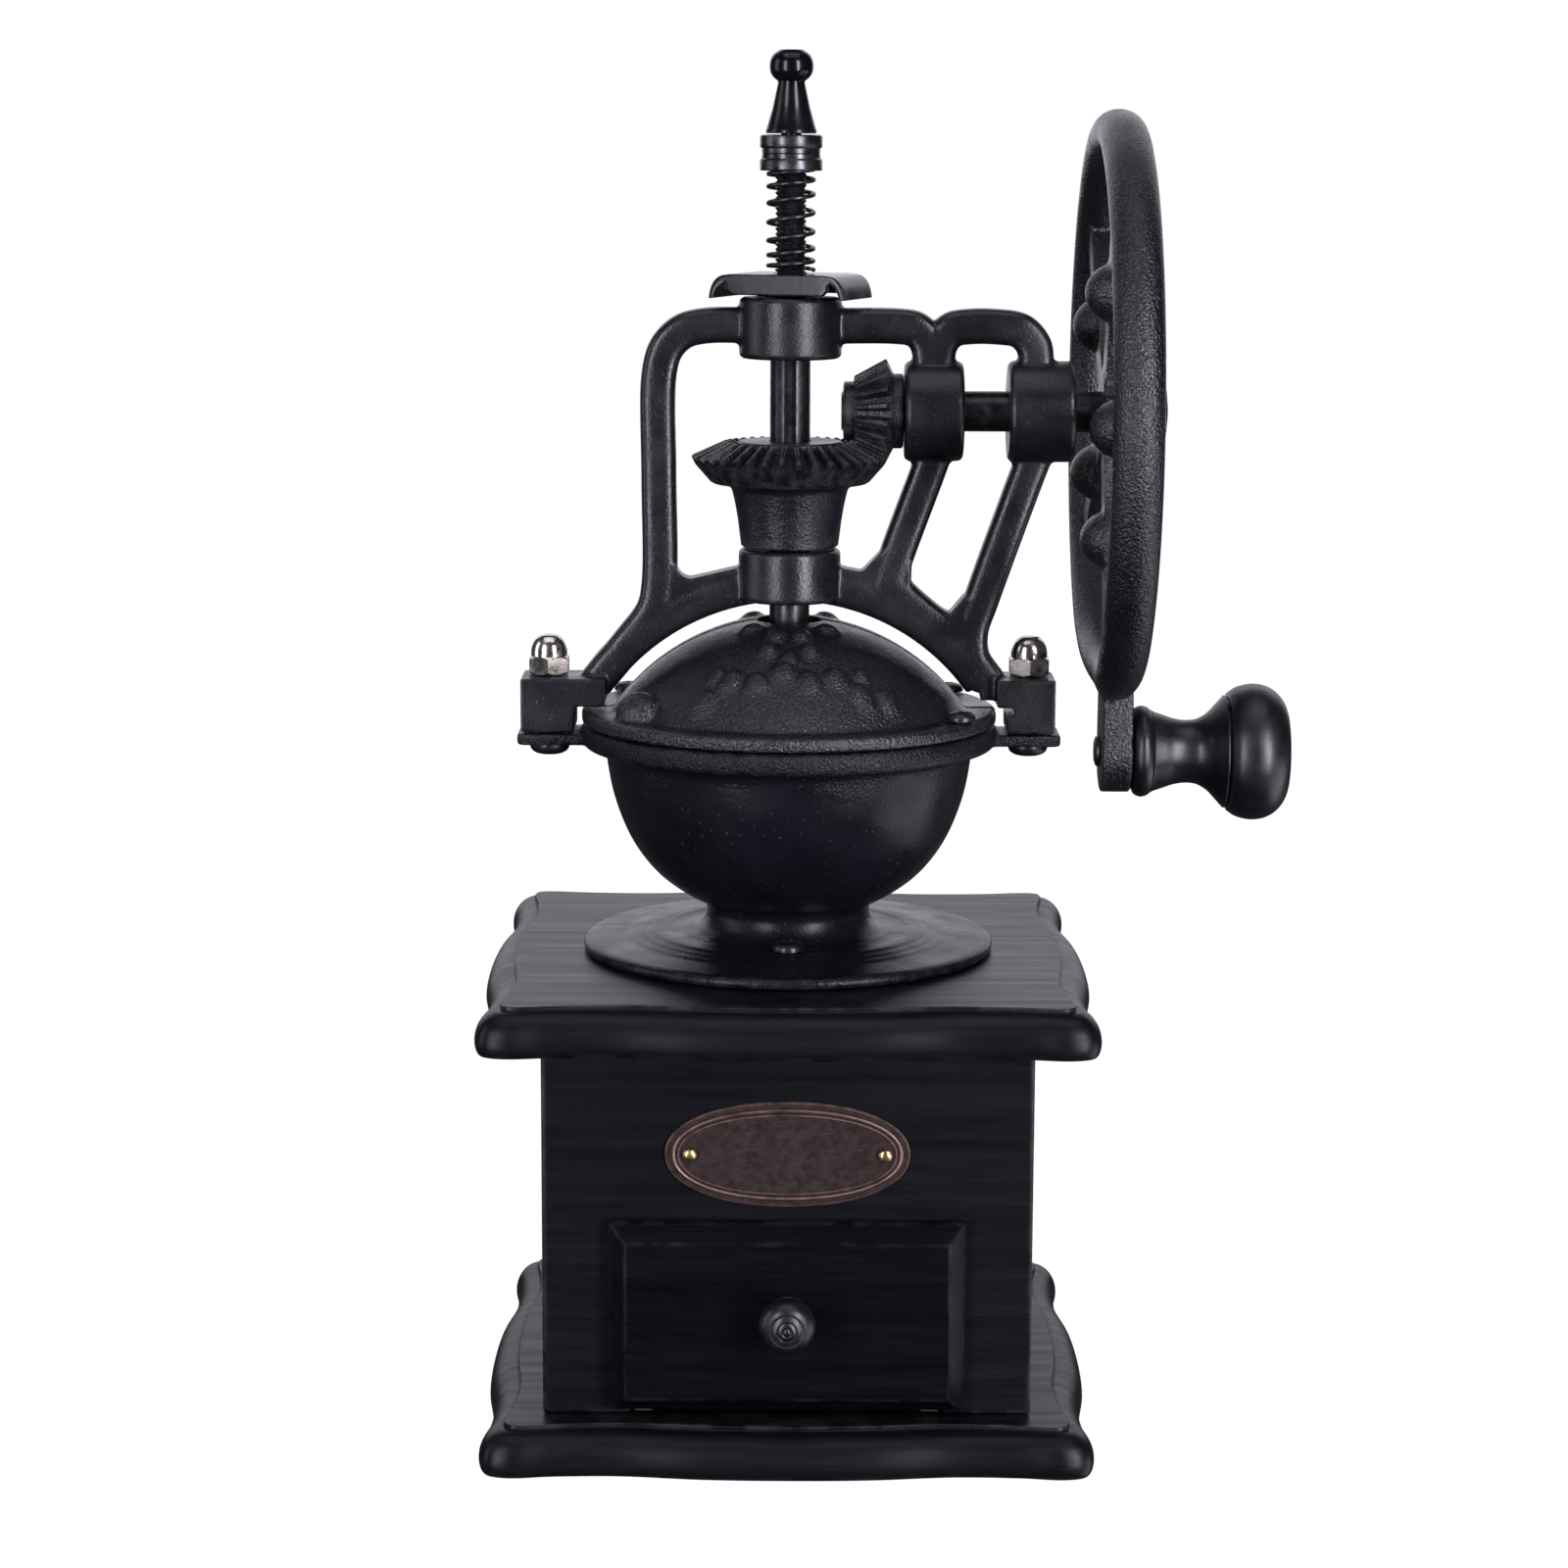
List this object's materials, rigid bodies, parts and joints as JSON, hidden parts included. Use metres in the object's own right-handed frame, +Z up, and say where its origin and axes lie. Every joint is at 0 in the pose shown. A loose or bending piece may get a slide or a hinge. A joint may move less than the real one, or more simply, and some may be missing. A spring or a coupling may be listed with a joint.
{
  "type": "coffee mill",
  "caption": "Hand-cranked coffee mill: an iron hopper with a bevel-gear handwheel drive on a wooden box with a drawer for the ground coffee.",
  "frame": {"origin": "centre of the underside of the wooden base plate", "axes": "+Z up along the spindle, +X towards the handwheel, -Y out of the front, the way the drawer opens"},
  "size_m": [0.2014, 0.158, 0.339],
  "materials": {
    "black_wood": "satin black stain over fine grain",
    "bare_wood": "bare, darkened by coffee",
    "cast_iron": "black paint over orange-peel casting skin",
    "satin_iron": "smooth satin black paint",
    "gloss_iron": "gloss black enamel",
    "black_steel": "blackened steel, lightly oiled",
    "nickel": "bright nickel, a little tarnished",
    "brass": "polished brass, tarnished at the edges",
    "bronze": "dark antique bronze patina"
  },
  "bodies": {
    "frame": {"base_plate": "black_wood", "base_screw_1": "black_steel", "base_screw_2": "black_steel", "base_screw_3": "black_steel", "base_screw_4": "black_steel", "box_left_panel": "black_wood", "box_right_panel": "black_wood", "box_back_panel": "black_wood", "box_front_panel": "black_wood", "top_plate": "black_wood", "drawer_guide_left": "bare_wood", "drawer_guide_right": "bare_wood", "nameplate": "bronze", "nameplate_nail_left": "brass", "nameplate_nail_right": "brass", "bowl": "cast_iron", "foot_screw_1": "black_steel", "foot_screw_2": "black_steel", "outer_burr": "black_steel", "burr_screw_1": "black_steel", "burr_screw_2": "black_steel", "rear_cover": "cast_iron", "lid_pivot_screw": "black_steel", "rear_cover_screw_1": "black_steel", "rear_cover_screw_2": "black_steel", "yoke": "satin_iron", "yoke_bolt_left": "black_steel", "yoke_bolt_right": "black_steel", "cap_nut_left": "nickel", "cap_nut_right": "nickel"},
    "wheel": {"handwheel": "cast_iron", "drive_shaft": "black_steel", "pinion": "cast_iron", "pinion_key": "black_steel", "wheel_washer": "black_steel", "wheel_nut": "black_steel", "handle_bolt": "black_steel"},
    "handle": {"handle_knob": "black_wood"},
    "gear": {"bevel_gear": "cast_iron", "gear_key": "black_steel", "adjuster_spring": "black_steel"},
    "spindle": {"spindle": "black_steel", "inner_burr": "black_steel", "burr_nut": "black_steel", "spring_collar": "gloss_iron", "finial": "gloss_iron"},
    "nut": {"adjusting_nut": "black_steel"},
    "lock_plate": {"locking_plate": "gloss_iron"},
    "lid": {"front_lid": "cast_iron"},
    "drawer": {"drawer_front": "black_wood", "drawer_left_side": "bare_wood", "drawer_right_side": "bare_wood", "drawer_back": "bare_wood", "drawer_floor": "bare_wood", "drawer_knob": "black_wood", "drawer_knob_screw": "black_steel"}
  },
  "joints": [
    {"name": "wheel_spin", "type": "hinge", "parent": "frame", "child": "wheel", "pos_m": [0.0803, 0, 0.251], "axis": [1, 0, 0], "continuous": true},
    {"name": "gear_spin", "type": "hinge", "parent": "frame", "child": "gear", "pos_m": [0, 0, 0.225], "axis": [0, 0, 1], "continuous": true},
    {"name": "handle_spin", "type": "hinge", "parent": "wheel", "child": "handle", "pos_m": [0.1, 0, 0.1657], "axis": [1, 0, 0], "continuous": true},
    {"name": "drawer_slide", "type": "slide", "parent": "frame", "child": "drawer", "axis": [0, -1, 0], "range_m": [0, 0.085]},
    {"name": "lid_swing", "type": "hinge", "parent": "frame", "child": "lid", "pos_m": [0.0421, -0.0243, 0.175], "axis": [0, 0, 1], "range_deg": [0, 90]},
    {"name": "adjuster_turn", "type": "hinge", "parent": "gear", "child": "nut", "pos_m": [0, 0, 0.281], "axis": [0, 0, 1], "range_deg": [-180, 360]},
    {"name": "spindle_lift", "type": "slide", "parent": "gear", "child": "spindle", "axis": [0, 0, 1], "range_m": [-0.00125, 0.00063]},
    {"name": "lock_plate_lift", "type": "slide", "parent": "gear", "child": "lock_plate", "axis": [0, 0, 1], "range_m": [0, 0.004], "stiffness_N_per_m": 1900, "springref_m": -0.003, "deforming": ["adjuster_spring"]}
  ],
  "couplings": [
    {"joint": "gear_spin", "follows": "wheel_spin", "ratio": 0.5},
    {"joint": "adjuster_turn", "follows": "spindle_lift", "rad_per_m": -5026.5}
  ]
}
